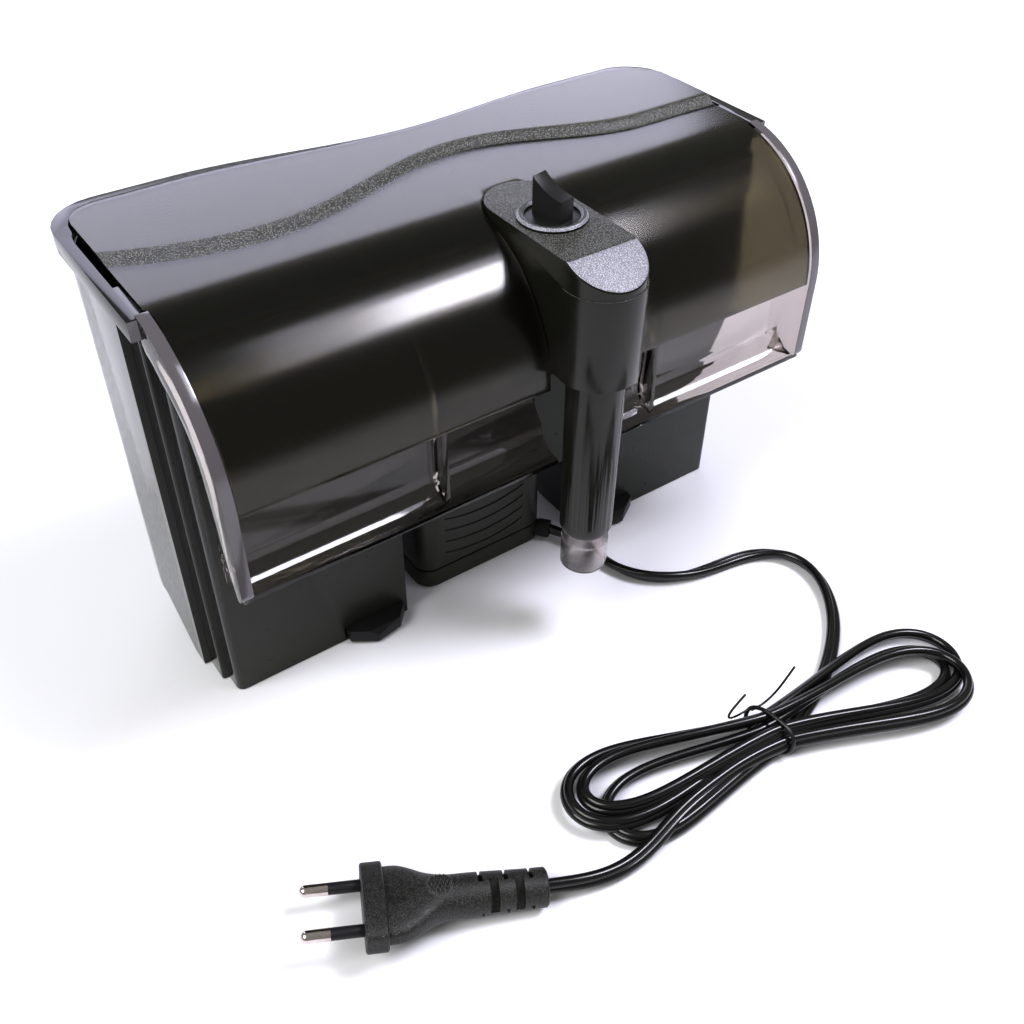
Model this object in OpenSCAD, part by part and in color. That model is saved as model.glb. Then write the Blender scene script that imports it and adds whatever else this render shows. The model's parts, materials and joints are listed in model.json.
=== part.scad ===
// Hang on back aquarium filter: a two-chamber case that hooks over the tank rim,
// a smoked lid, an intake elbow with a flow knob, and a pump motor under the middle.
// Lengths are millimetres. X runs along the tank wall, Y away from the tank, Z up.
// Every module works from the plane of the tank side of the chambers; place() then
// moves it so that the origin is under the middle of the whole filter.

/* [Case] */
// Width of the two chambers at their tank side
case_w = 232; // [200:1:260]
// Width of one outward step in each side wall
step_w = 2.5; // [1:0.1:3]
// Distance of the case's flat back wall behind the tank side
case_back = 68; // [62:1:72]
// Height of the front wall, where the water runs over
weir_z = 151; // [148:0.5:153]
// Thickness of the moulded walls
wall = 2.2; // [1.6:0.1:3]
// Width of the space between the chambers, where the motor hangs
bay_w = 86; // [80:1:90]
// Height of the underside of the pump well
well_z = 42; // [40:1:46]

/* [Spillway] */
// Outer radius of the lid's front curve
lid_r = 47.5; // [46:0.5:49]
// Width across the spillway's outer side faces
spill_w = 238.8; // [232:0.2:240]
// Height of the underside of the spillway lip
lip_z = 81; // [76:1:88]

/* [Lid] */
// Height of the lid's flat top
lid_top = 162.2; // [160:0.2:163]
// Thickness of the lid
lid_t = 2; // [1.5:0.1:2.5]
// Rise of the raised rear panel of the lid
panel_rise = 2.6; // [1:0.1:3]

/* [Intake] */
// Sideways offset of the intake from the middle
intake_x = 10; // [6:0.5:12]
// Distance of the intake tube's axis in front of the chambers
intake_reach = 43.5; // [42:0.5:46]
// Outer radius of the elbow's sleeve
sleeve_r = 14.1; // [13.5:0.1:14.5]
// Outer diameter of the intake tube at its top
tube_d = 20; // [19:0.2:21]
// Height of the intake tube's lower end
tube_z = 52; // [46:1:70]
// How far the clear extension sticks out of the tube
extension_out = 17; // [12:1:30]

/* [Flow knob] */
// Diameter of the knob's disc
knob_d = 18; // [16:0.5:19]
// Height of the knob's grip above the disc at its rear
grip_h = 12.5; // [8:0.5:14]

/* [Pump] */
// Width of the motor housing
motor_w = 60; // [56:1:64]
// Depth of the motor housing
motor_d = 47; // [44:1:50]
// Outer diameter of the magnet rotor
rotor_d = 15; // [13:0.5:16]
// Diameter of the ceramic shaft
shaft_d = 3; // [2.5:0.5:4]
// Number of impeller blades
blades = 6; // [4:1:8]

/* [Filter media] */
// Thickness of a filter cartridge's frame
frame_t = 5; // [4:0.5:6]

/* [Cord] */
// Width of the twin mains cord
cord_d = 5.6; // [5:0.1:5.8]
// Diameter of a mains pin
pin_d = 4; // [4:0.1:4.1]
// Length of a mains pin
pin_len = 19; // [18:0.5:20]

/* [Hidden] */
$fn = 64;

// Overall reach in Y, which sets the origin
rim_grow = 6.1;
dip_y = 64.5;
left_bulge = 10.5;
right_bulge = 4.5;
rim_back = dip_y + left_bulge + rim_grow;
elbow_front = intake_reach + sleeve_r;
tank_y = (elbow_front - rim_back) / 2;

// Chambers
half = case_w / 2;
bay = bay_w / 2;
step1_y = 9;
step2_y = 20;
rear_r = 20;
rear_gap = 1;
slope_y0 = 28;
slope_y1 = 50;
slope_z = 14;
rim_z = 155;
rim_top = 161.6;
rim_front = 2;
glass_z = 146;

// Spillway: the curve that lid, side plates and apron share
arc_y = 9.5;
arc_z = lid_top - lid_r;
apron_r = 38;
plate_r = 48;
plate_t = 4;
curl_r = 9;
lip_y = arc_y - apron_r - curl_r;
fin_x = 44;

// Lid outline
lid_half = 116.3;
lid_front_half = 114.8;
lid_jog_y = 4;
lid_gap = 0.8;

// Elbow and knob
elbow_half = 13.7;
elbow_top = 163.4;
elbow_back = -2.5;
sleeve_z = 121;
duct_z = 152.4;
duct_wall = 1.8;
leg_y = 24;
leg_r = 10;
leg_z = 62.2;
knob_y = -16.7;
knob_turn = 12;
knob_ring_r = knob_d / 2 + 2.6;
grip_half = 6;
grip_drop = 5;
grip_hollow = 22;
stem_d = 5;
wave_low = 23.7;
wave_h = 20.3;
cap_y = -42.5;
cap_drop = 7.2;

// Filter media
rib_y = 17;
media_z = 18;

// Pump
motor_x0 = -32;
motor_y0 = 5;
cover_h = 9;
gland_z = 4.4;
gland_len = 8;
well_r = 10.5;
well_floor = 10;

function clamp01(t) = max(0, min(1, t));
function ease(t) = (1 - cos(180 * clamp01(t))) / 2;
// Rear edge of the lid: far back on the left, nearest at the dip, back again on the right
function back_y(x) = dip_y + (x < 10 ? left_bulge * ease((10 - x) / 90)
                                     : right_bulge * ease((x - 10) / 60));
// Centre line of the textured wave across the lid
function wave_y(x) = wave_low + (x < -60 ? 14 * pow((-60 - x) / 56, 2)
                               : wave_h * ease(x < 14 ? (x + 60) / 74 : (98 - x) / 84));
// Outline with half width x1 from y = front back to the wavy rear edge moved out by g,
// with rear corner radii rl on the left and rr on the right
function plan_points(x1, front, g, rl, rr) = concat(
    [[-x1, front]],
    [for (a = [180 : -15 : 90])
        [-x1 + rl + rl * cos(a), back_y(-x1 + rl) + g - rl + rl * sin(a)]],
    [for (x = [-x1 + rl + 5 : 6 : x1 - rr - 4]) [x, back_y(x) + g]],
    [for (a = [90 : -15 : 0]) [x1 - rr + rr * cos(a), back_y(x1 - rr) + g - rr + rr * sin(a)]],
    [[x1, front]]);

module place() translate([0, tank_y, 0]) children();

// Rectangle from (x0, y0) to (x1, y1) with corner radius rf at low y and rb at high y
module rounded(x0, y0, x1, y1, rf, rb) {
    translate([x0 + rf, y0]) square([x1 - x0 - 2 * rf, rf]);
    translate([x0, y0 + rf]) square([x1 - x0, y1 - y0 - rf - rb]);
    translate([x0 + rb, y1 - rb]) square([x1 - x0 - 2 * rb, rb]);
    for (x = [x0 + rf, x1 - rf]) translate([x, y0 + rf]) circle(rf);
    for (x = [x0 + rb, x1 - rb]) translate([x, y1 - rb]) circle(rb);
}

// Extrude a Y-Z outline along X from x0 to x1
module along_x(x0, x1)
    translate([x0, 0, 0]) rotate([90, 0, 90]) linear_extrude(x1 - x0) children();

// Ring sector in the Y-Z outline: radii r0 to r1 about the shared curve, front upper quarter
module curve_band(r0, r1, y_max) intersection() {
    translate([arc_y, arc_z]) difference() { circle(r1); circle(r0); }
    translate([arc_y - r1 - 1, arc_z]) square([y_max - arc_y + r1 + 1, r1 + 1]);
}

// ---- Case ----------------------------------------------------------------------

// Plan of the case: side walls step outwards twice towards the back
module case_plan(in) {
    rounded(-half + in, in, half - in, 40, 3, 3);
    rounded(-half - step_w + in, step1_y + in, half + step_w - in, 40, 1, 1);
    polygon(plan_points(half + 2 * step_w - in, step2_y + in, -rear_gap - in, rear_r - in,
                        rear_r - in));
}

// Side outline of one chamber, with its sloping rear underside
module chamber_side(in) polygon([
    [in, in], [slope_y0 + 0.35 * in, in], [slope_y1 + 0.35 * in, slope_z + in],
    [case_back + 12, slope_z + in], [case_back + 12, rim_z + 4], [in, rim_z + 4]]);

module chamber_blocks(in) intersection() {
    linear_extrude(rim_z + 2 + in) case_plan(in);
    union() {
        for (s = [-1, 1]) scale_x(s) along_x(bay + in, half + 8) chamber_side(in);
        translate([-bay - 1, 0, well_z + in]) cube([2 * bay + 2, case_back + 12, 130]);
    }
}

// Mirror to the left when s is -1
module scale_x(s) mirror([s < 0 ? 1 : 0, 0, 0]) children();

// Plan of the lid, grown outwards by g
module lid_plan(g, front) polygon(plan_points(lid_half + g, front, g, 12 + g, 18 + g));

module rim() difference() {
    translate([0, 0, rim_z]) linear_extrude(rim_top - rim_z) lid_plan(rim_grow, rim_front);
    translate([0, 0, rim_z - 1]) linear_extrude(20) lid_plan(-3.2, -20);
    translate([0, 0, rim_z + 2.4]) linear_extrude(20) lid_plan(lid_gap, -20);
}

// Apron that carries the water over the tank rim, down and forward to the lip
module apron() difference() {
    along_x(-spill_w / 2 + 1, spill_w / 2 - 1) {
        curve_band(apron_r - 2, apron_r, wall);
        translate([arc_y - apron_r, lip_z + 2 + curl_r])
            square([2, arc_z - lip_z - 2 - curl_r]);
        translate([lip_y, lip_z + 2 + curl_r]) intersection() {
            difference() { circle(curl_r + 2); circle(curl_r); }
            translate([0, -curl_r - 3]) square([curl_r + 3, curl_r + 3]);
        }
    }
    intake_notch();
}

// Opening in the lip that lets the intake tube pass
module intake_notch() translate([intake_x, 0, 0]) rotate([90, 0, 0])
    linear_extrude(60) polygon([[-9, lip_z - 3], [9, lip_z - 3], [10.5, lip_z + 12],
                                [13.8, lip_z + 22], [13.8, arc_z - 2], [-13.8, arc_z - 2],
                                [-13.8, lip_z + 22], [-10.5, lip_z + 12]]);

module side_plate() {
    along_x(spill_w / 2 - plate_t, spill_w / 2) {
        curve_band(apron_r - 2, plate_r, lid_jog_y - 0.4);
        translate([arc_y - plate_r, lip_z + 4]) square([plate_r - apron_r + 2, arc_z - lip_z - 4]);
        translate([arc_y - plate_r + 4, lip_z]) square([plate_r - apron_r - 2, 5]);
        translate([arc_y - plate_r + 4, lip_z + 4]) circle(4);
    }
    along_x(spill_w / 2 - plate_t, half) translate([0, weir_z - 16]) square([arc_y, 20]);
}

// Fins that stiffen the apron, deep at the top and shallow at the lip
module fin() along_x(-1, 1) {
    difference() {
        curve_band(apron_r - 1, lid_r - lid_t - 1, -4);
        translate([-12, arc_z]) square([20, 60]);
    }
    polygon([[arc_y - apron_r + 1, arc_z], [arc_y - lid_r + lid_t + 1, arc_z],
             [lip_y + 1.5, lip_z + 3], [arc_y - apron_r + 1, lip_z + 6]]);
}

// Wall between a chamber and the pump well, lower than the case so that water crosses
module partition(x) translate([x, wall, well_z])
    cube([wall, dip_y - 2 * wall, rim_z - well_z - 22]);

// Vertical ribs that hold a cartridge or a sponge by its edges, with a ledge under each.
// The outer ribs are wider, because the side wall steps away from them.
module guide_ribs() for (side = [[bay + wall, 3, 3],
                                 [half - wall - 3, 3.4 + step_w, 3.4 + 2 * step_w]]) {
    for (r = [[0, 1], [frame_t + 2.6, 2], [16, 2], [32.6, 2]])
        translate([side[0], rib_y + r[0], media_z]) cube([side[r[1]], 2, 118]);
    translate([side[0], rib_y, media_z - 4]) cube([side[1], frame_t + 4.6, 3.8]);
    translate([side[0], rib_y + 16, media_z - 4]) cube([side[2], 18.6, 3.8]);
}

module filter_case() place() color([0.10, 0.10, 0.11]) difference() {
    union() {
        difference() {
            chamber_blocks(0);
            chamber_blocks(wall);
        }
        for (s = [-1, 1]) scale_x(s) {
            partition(bay);
            guide_ribs();
            side_plate();
        }
        for (x = [-fin_x, fin_x]) translate([x, 0, 0]) fin();
        apron();
        rim();
        for (s = [-1, 1]) scale_x(s) translate([bay, 0, 0.01])
            cube([level_x1 - bay + 2.4, slope_y0, level_h + 3.4]);
        translate([intake_x, leg_y, well_floor]) cylinder(r = well_r, h = well_z - well_floor + 1);
    }
    // Open mouth over the chambers, with the front wall cut down to the weir
    translate([-half + wall, wall - 5, weir_z]) cube([case_w - 2 * wall, 12, 40]);
    translate([0, 0, rim_z - 1]) linear_extrude(20) intersection() {
        case_plan(wall);
        translate([-200, wall]) square([400, 200]);
    }
    translate([intake_x, leg_y, well_floor + wall]) cylinder(r = well_r - 1.6, h = 60);
    // Shallow relief under the apron, so that the tank's glass bears on the flat face below
    translate([-half - 1, -1, glass_z]) cube([case_w + 2, 1.2, 3.2]);
    for (s = [-1, 1]) scale_x(s) leveller_channel(0.15);
}

// ---- Lid -----------------------------------------------------------------------

// Plan of the raised rear panel, bounded by the wave
module panel_plan() intersection() {
    lid_plan(0, 4);
    polygon(concat([[-130, 100]], [for (x = [-120 : 4 : 120]) [x, wave_y(x) + 4]], [[130, 100]]));
}

module elbow_slot() {
    translate([intake_x - elbow_half - 0.8, -70]) square([2 * elbow_half + 1.6, 70 + elbow_back]);
    translate([intake_x, elbow_back]) circle(elbow_half + 0.8);
}

module lid() place() color([0.16, 0.14, 0.14]) difference() {
    union() {
        along_x(-lid_front_half, lid_front_half) curve_band(lid_r - lid_t, lid_r, arc_y);
        translate([0, 0, lid_top - lid_t]) linear_extrude(lid_t) lid_plan(0, lid_jog_y);
        translate([-lid_front_half, arc_y - 1, lid_top - lid_t])
            cube([2 * lid_front_half, 6, lid_t]);
        translate([0, 0, lid_top - 1]) linear_extrude(1 + panel_rise) panel_plan();
        translate([0, 0, rim_z + 2.6]) linear_extrude(lid_top - rim_z - 3.6) difference() {
            lid_plan(0, lid_jog_y + 6);
            lid_plan(-1.8, -20);
        }
    }
    translate([0, 0, arc_z - 20]) linear_extrude(100) elbow_slot();
}

// ---- Intake --------------------------------------------------------------------

module elbow_plan(r) {
    translate([intake_x, -intake_reach]) circle(r);
    translate([intake_x - r, -intake_reach]) square([2 * r, intake_reach + elbow_back]);
    translate([intake_x, elbow_back]) circle(r);
}

// Side outline of the elbow's duct over the weir, with the sloped front cap
module elbow_side(in) polygon([
    [-elbow_front - 1, sleeve_z], [-intake_reach + sleeve_r + 1, sleeve_z],
    [-intake_reach + sleeve_r + 1, duct_z - 13 + in], [-17, duct_z - 3 + in],
    [-8, duct_z + in], [30, duct_z + in], [30, elbow_top - in], [cap_y, elbow_top - in],
    [-elbow_front - 1, elbow_top - in - cap_drop]]);

module intake_elbow() place() color([0.12, 0.12, 0.13]) difference() {
    union() {
        intersection() {
            translate([0, 0, sleeve_z]) linear_extrude(60) elbow_plan(elbow_half);
            along_x(intake_x - 20, intake_x + 20) elbow_side(0);
        }
        translate([intake_x, -intake_reach, sleeve_z]) cylinder(r = sleeve_r, h = 33);
        // duct and leg hidden under the lid
        translate([intake_x, 0, duct_z]) linear_extrude(lid_top - lid_t - 0.6 - duct_z) {
            translate([-11, -4]) square([22, leg_y + 4]);
            translate([0, leg_y]) circle(11);
        }
        translate([intake_x, leg_y, leg_z]) cylinder(r = leg_r, h = duct_z - leg_z + 1);
        // chamfered ring round the knob
        translate([intake_x, knob_y, elbow_top]) rotate_extrude()
            polygon([[0, -0.5], [knob_ring_r, -0.5], [knob_ring_r, 0.8], [knob_ring_r - 0.8, 1.6],
                     [knob_d / 2 + 0.9, 1.6], [knob_d / 2, 0.7], [0, 0.7]]);
    }
    // sleeve bore, duct and leg bore
    translate([intake_x, -intake_reach, sleeve_z - 1]) cylinder(r = tube_d / 2 + 0.05, h = 30);
    translate([intake_x, -intake_reach, sleeve_z + 20]) cylinder(r = 8, h = 15.5);
    translate([intake_x - 8, -intake_reach - 2, duct_z + duct_wall])
        cube([16, intake_reach + leg_y + 2, 5.4]);
    translate([intake_x, leg_y, leg_z - 1]) cylinder(r = 8, h = duct_z + duct_wall + 5.4 - leg_z);
    // seat of the knob's disc and room for its gate
    translate([intake_x, knob_y, elbow_top - 2.6]) cylinder(d = knob_d + 0.16, h = 20);
    translate([intake_x, knob_y, duct_z + duct_wall]) cylinder(r = 9.4, h = 5.4);
    translate([intake_x, knob_y, duct_z + duct_wall]) cylinder(d = stem_d + 0.3, h = 9);
}

module elbow_seal() place() color([0.05, 0.05, 0.05])
    translate([intake_x, leg_y, leg_z - 1.2]) difference() {
        cylinder(r = leg_r + 1.5, h = 6);
        translate([0, 0, 1.2]) cylinder(r = leg_r, h = 10);
        translate([0, 0, -1]) cylinder(r = 8, h = 10);
    }

// Grip bar, its hollow top falling towards the front
module grip() rotate([0, 0, knob_turn]) along_x(-3, 3) difference() {
    translate([-grip_half, 0]) square([2 * grip_half, grip_h]);
    translate([0, grip_h - grip_drop / 2]) rotate(atan(grip_drop / (2 * grip_half)))
        translate([0, sqrt(pow(grip_hollow, 2) - pow(grip_half, 2) - pow(grip_drop / 2, 2))])
            circle(grip_hollow);
}

module flow_knob() place() color([0.09, 0.09, 0.10])
    translate([intake_x, knob_y, elbow_top - 2.6]) {
        difference() {
            cylinder(d = knob_d, h = 2.9);
            translate([0, 0, -1]) cylinder(d = stem_d, h = 2.6);
        }
        translate([0, 0, 2.8]) grip();
    }

module flow_gate() place() color([0.20, 0.20, 0.21])
    translate([intake_x, knob_y, duct_z + duct_wall + 0.4]) {
        rotate([0, 0, knob_turn]) translate([-1, -8.6, 0]) cube([2, 17.2, 4.6]);
        cylinder(d = stem_d, h = elbow_top - 2.6 + 1.6 - duct_z - duct_wall - 0.4);
    }

module intake_tube() place() color([0.10, 0.10, 0.11])
    translate([intake_x, -intake_reach, 0]) rotate_extrude()
        polygon([[7.9, tube_z], [9.0, tube_z], [9.6, tube_z + 1.6], [tube_d / 2, sleeve_z - 8],
                 [tube_d / 2, sleeve_z + 18], [8.6, sleeve_z + 18], [8.6, tube_z + 10],
                 [8.4, tube_z + 9]]);

module extension_tube() place() color([0.62, 0.58, 0.58, 0.8])
    translate([intake_x, -intake_reach, tube_z - extension_out]) difference() {
        union() {
            cylinder(r = 7.8, h = 45);
            translate([0, 0, 0]) cylinder(r = 8.7, h = extension_out - 5);
            cylinder(r = 7.85, h = extension_out - 0.3);
            translate([0, 0, extension_out - 5.4]) cylinder(r = 8.5, h = 5.1);
        }
        translate([0, 0, -1]) cylinder(r = 6.9, h = 60);
    }

// ---- Pump ----------------------------------------------------------------------

module impeller_cover() place() color([0.13, 0.13, 0.14])
    translate([intake_x, leg_y, well_z + wall]) difference() {
        union() {
            cylinder(r = 19, h = 16);
            cylinder(r = 12.8, h = 23);
        }
        translate([0, 0, -1]) cylinder(r = 17.2, h = 15);
        translate([0, 0, 10]) cylinder(r = 8, h = 20);
        translate([0, 0, 16.6]) cylinder(r = leg_r + 1.6, h = 20);
        translate([-30, -6, -1]) cube([30, 12, 13]);
    }

module cover_bush() place() color([0.04, 0.04, 0.04])
    translate([intake_x, leg_y, well_z + wall + 12.4]) difference() {
        union() {
            cylinder(d = 7, h = 5);
            for (a = [0, 120, 240]) rotate([0, 0, a]) translate([0, -0.8, 0]) cube([7.95, 1.6, 3]);
        }
        translate([0, 0, -1]) cylinder(d = shaft_d, h = 5);
    }

module impeller() place() color([0.85, 0.85, 0.83])
    translate([intake_x, leg_y, well_z + wall + 0.8]) difference() {
        union() {
            cylinder(d = 12, h = 8);
            cylinder(r = 8.4, h = 1.4);
            for (i = [0 : blades - 1]) rotate([0, 0, i * 360 / blades])
                translate([4, -0.8, 0]) cube([11, 1.6, 9]);
        }
        translate([0, 0, -1]) cylinder(d = shaft_d + 0.12, h = 20);
    }

module rotor_magnet() place() color([0.25, 0.25, 0.27])
    translate([intake_x, leg_y, well_floor + wall + 5]) difference() {
        cylinder(d = rotor_d, h = well_z + 0.8 - well_floor - 5);
        translate([0, 0, -1]) cylinder(d = shaft_d + 0.12, h = 60);
    }

module impeller_shaft() place() color([0.95, 0.95, 0.93])
    translate([intake_x, leg_y, well_floor + wall + 1]) cylinder(d = shaft_d, h = 47.2);

module well_bush() place() color([0.04, 0.04, 0.04])
    translate([intake_x, leg_y, well_floor + wall]) difference() {
        cylinder(d = 9, h = 4);
        translate([0, 0, 1]) cylinder(d = shaft_d, h = 5);
    }

module motor_plan(in)
    rounded(motor_x0 + in, motor_y0 + in, motor_x0 + motor_w - in, motor_y0 + motor_d - in,
            7 - in, 7 - in);

// Shallow curved grooves across the front of the motor
module motor_groove(z) translate([motor_x0 + motor_w / 2, motor_y0 + 0.6, z])
    rotate([90, 0, 0]) linear_extrude(2) intersection() {
        translate([0, 58]) difference() { circle(60.4); circle(59.6); }
        translate([-19, -4]) square([38, 12]);
    }

module motor_housing() place() color([0.09, 0.09, 0.10]) difference() {
    translate([0, 0, cover_h]) linear_extrude(well_z - cover_h) motor_plan(0);
    translate([0, 0, cover_h - 1]) linear_extrude(well_z - cover_h - 1.4) motor_plan(2);
    translate([intake_x, leg_y, 0]) cylinder(r = well_r + 0.1, h = 60);
    for (i = [0 : 3]) motor_groove(15 + 6 * i);
}

module motor_seal() place() color([0.04, 0.04, 0.04]) translate([0, 0, cover_h - 0.8])
    linear_extrude(0.8) difference() { motor_plan(0.8); motor_plan(2); }

// Axis of the cord's exit at the front right corner of the motor, pointing outwards
module at_gland() translate([motor_x0 + motor_w - 3.6, motor_y0 + 3.6, gland_z])
    rotate([90, 0, 40]) children();

module motor_cover() place() color([0.08, 0.08, 0.09]) difference() {
    linear_extrude(cover_h - 0.8) motor_plan(0);
    translate([0, 0, 2]) linear_extrude(cover_h) motor_plan(2);
    at_gland() cylinder(d = 7, h = 12, center = true);
}

// C-shaped stack of steel laminations with its two poles beside the rotor well
module stator_core() place() color([0.55, 0.56, 0.58]) translate([0, 0, 16])
    linear_extrude(16) difference() {
        translate([motor_x0 + 6, motor_y0 + 4]) square([50, 36]);
        translate([motor_x0 + 15, motor_y0 + 13]) square([21, 18]);
        translate([intake_x, leg_y]) circle(well_r + 0.3);
        translate([intake_x - 12, leg_y - 1.5]) square([30, 3]);
    }

module coil_bobbin() place() color([0.85, 0.82, 0.72])
    translate([motor_x0 + 10.5, motor_y0 + 22, 24]) rotate([90, 0, 0])
        linear_extrude(17, center = true) difference() {
            square([11.6, 18.6], center = true);
            square([9, 16], center = true);
        }

module stator_coils() place() color([0.72, 0.40, 0.20])
    translate([motor_x0 + 10.5, motor_y0 + 22, 24]) rotate([90, 0, 0])
        linear_extrude(15, center = true) difference() {
            square([16.4, 27], center = true);
            square([11.6, 18.6], center = true);
        }

// ---- Filter media --------------------------------------------------------------

media_x0 = bay + wall + 0.8;
media_w = half - wall - 0.8 - media_x0;

module cartridge_frame() translate([media_x0, rib_y + 2.3, media_z]) difference() {
    cube([media_w, frame_t, 122]);
    for (i = [0, 1]) for (j = [0 : 2])
        translate([5 + i * (media_w - 7) / 2, -1, 6 + j * 36])
            cube([(media_w - 13) / 2, frame_t + 2, 33]);
    translate([media_w / 2 - 12, -1, 115]) cube([24, frame_t + 2, 4]);
}

module floss_pad() translate([media_x0 + 3.2, rib_y + 2.4 + frame_t, media_z + 3])
    cube([media_w - 6.4, 6.2, 108]);

module bio_sponge() translate([media_x0, rib_y + 18.4, media_z]) difference() {
    cube([media_w, 13.8, 112]);
    for (i = [0 : 2]) translate([12 + i * (media_w - 24) / 2, -1, 20])
        cube([4, 4, 72]);
}

module left_cartridge_frame() place() color([0.15, 0.35, 0.60]) scale_x(-1) cartridge_frame();
module right_cartridge_frame() place() color([0.15, 0.35, 0.60]) cartridge_frame();
module left_floss_pad() place() color([0.92, 0.93, 0.94]) scale_x(-1) floss_pad();
module right_floss_pad() place() color([0.92, 0.93, 0.94]) floss_pad();
module left_bio_sponge() place() color([0.12, 0.13, 0.13]) scale_x(-1) bio_sponge();
module right_bio_sponge() place() color([0.12, 0.13, 0.13]) bio_sponge();

// ---- Levellers under the chambers' front edge ------------------------------------

level_x0 = 45.2;
level_x1 = 70.8;
level_h = 5.7;

module leveller() difference() {
    translate([0, 0, 1]) linear_extrude(level_h) polygon([
        [level_x0, 20], [level_x0, -1.5], [50, -6.8], [61, -8.8], [level_x1 - 0.6, -3],
        [level_x1, 20]]);
    translate([0, -9.5, 1 + level_h]) rotate([-35, 0, 0]) translate([40, -6, -4])
        cube([40, 8, 8]);
    for (x = [52, 56, 60, 64]) translate([x, 2, level_h + 0.4]) cube([1, 16, 1]);
}

module leveller_channel(g) translate([level_x0 - g, -1, 1 - g])
    cube([level_x1 - level_x0 + 2 * g, slope_y0 - 0.8, level_h + 2 * g]);

module left_leveller() place() color([0.05, 0.05, 0.05]) scale_x(-1) leveller();
module right_leveller() place() color([0.05, 0.05, 0.05]) leveller();

// ---- Mains cord ------------------------------------------------------------------

// Route of the lead from the gland to the tied hank, and of the tail on to the plug
lead_route = [[29.55, 2.45, 4.4], [33, -3, 4.2], [35.5, -10, 3.2], [37.5, -18, 2.8],
              [39, -27, 2.8], [42, -36, 2.8], [48, -44, 2.8], [57, -49.5, 2.8],
              [68, -52.5, 2.8], [80, -54, 2.8], [90, -56, 2.8], [99, -60.5, 2.8],
              [105, -68.5, 2.8], [106, -79, 2.8], [102, -90, 2.8], [94, -101, 2.8],
              [84, -110, 2.8], [72, -118, 2.8], [60, -124, 2.8], [48, -128, 2.8]];
tail_route = [[-12, -134.8, 6.4], [-24, -136.8, 5.6], [-37, -139.6, 3.6], [-50, -139.8, 4],
              [-61.5, -136.7, 5.4], [-71.6, -132, 6.2]];
cord_sides = 8;
ring_gap = 11;

// Point at t between b and c on the smooth curve through a, b, c and d
function blend(a, b, c, d, t) = 0.5 * (2 * b + (c - a) * t + (2 * a - 5 * b + 4 * c - d) * t * t
                                       + (3 * b - a - 3 * c + d) * t * t * t);
function smooth(p) = let (n = len(p) - 1) concat(
    [for (i = [0 : n - 1]) let (k = max(1, round(norm(p[i + 1] - p[i]) / ring_gap)))
        for (j = [0 : k - 1]) blend(i == 0 ? 2 * p[0] - p[1] : p[i - 1], p[i], p[i + 1],
            i == n - 1 ? 2 * p[n] - p[n - 1] : p[i + 2], j / k)], [p[n]]);
function along(p, i) = let (n = len(p) - 1, d = p[min(n, i + 1)] - p[max(0, i - 1)]) d / norm(d);
function ring(c, d, r) = let (s = [-d[1], d[0], 0] / norm([d[0], d[1]]), u = cross(d, s))
    [for (k = [0 : cord_sides - 1]) let (a = 360 * k / cord_sides + 22.5)
        c + r * (cos(a) * s + sin(a) * u)];

// Plain tube of radius r along the route p
module tube(p, r) {
    q = smooth(p);
    n = len(q);
    m = cord_sides;
    pts = [for (i = [0 : n - 1]) each ring(q[i], along(q, i), r)];
    sides = [for (i = [0 : n - 2]) for (k = [0 : m - 1])
        [i * m + k, i * m + (k + 1) % m, (i + 1) * m + (k + 1) % m, (i + 1) * m + k]];
    polyhedron(pts, concat(sides, [[for (k = [m - 1 : -1 : 0]) k],
                                   [for (k = [0 : m - 1]) (n - 1) * m + k]]), convexity = 8);
}

module cord_lead() place() color([0.03, 0.03, 0.03]) tube(lead_route, cord_d / 2);
module cord_tail() place() color([0.03, 0.03, 0.03]) tube(tail_route, cord_d / 2);

tie_x = 29.5;
tie_y = -129;
hank_h = 13;

// Outer shape of the tied figure of eight
module cord_hank() place() color([0.03, 0.03, 0.03]) translate([0, 0, 0.2])
    linear_extrude(hank_h) for (lobe = [[95, -141, 24], [-27, -118, 22.5]]) hull() {
        translate([lobe[0], lobe[1]]) circle(lobe[2]);
        translate([tie_x, tie_y]) circle(9.4);
    }

// Wire loop round the hank's waist, with its two ends sticking up
module cord_tie() place() color([0.03, 0.03, 0.03]) {
    translate([tie_x - 1, tie_y, 0.2]) difference() {
        translate([0, -10.8, 0]) cube([2, 21.6, hank_h + 1.2]);
        translate([-1, -9.4, 1.4]) cube([4, 18.8, hank_h - 1.4]);
    }
    for (s = [-1, 1]) translate([tie_x, tie_y + 4, hank_h + 0.4]) rotate([-20, s * 35, 0])
        cylinder(d = 1.2, h = 16, $fn = 16);
}

module cord_gland() place() color([0.05, 0.05, 0.05]) at_gland() {
    translate([0, 0, -5]) cylinder(d = 6.8, h = 8);
    translate([0, 0, 3]) cylinder(d = 7.6, h = gland_len - 3);
}

// The plug rests on the corner of its face and on the end of its strain relief
plug_at = [-123.7, -107.4, 10.9];
plug_tilt = [-16, 4.7, -25.3];
pin_gap = 18.6;
face_t = 7;
neck_x = 32.5;
neck_r = 7;
cut_gap = 1.2;
relief_step = 7.9;
plug_len = 57.8;
rib_x = 21;
rib_step = 1.3;

// Plug frame: X towards the cord, Y across, Z up; the pins point to -X
module at_plug() place() translate(plug_at) rotate(plug_tilt) children();

module plug_plan() polygon([[5, -16], [10, -14.6], [15, -11], [20, -8.6], [26, -7.4],
                            [neck_x, -neck_r], [neck_x, neck_r], [26, 7.4], [20, 8.6],
                            [15, 11], [10, 14.6], [5, 16]]);

// Round patch of short ribs for the thumb
module thumb_ribs() intersection() {
    translate([rib_x, 0, 4.6]) cylinder(d = 9, h = 1.6);
    for (i = [-3 : 3]) translate([rib_x - 0.4 + rib_step * i, -5, 4.6]) cube([0.8, 10, 1.6]);
}

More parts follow.
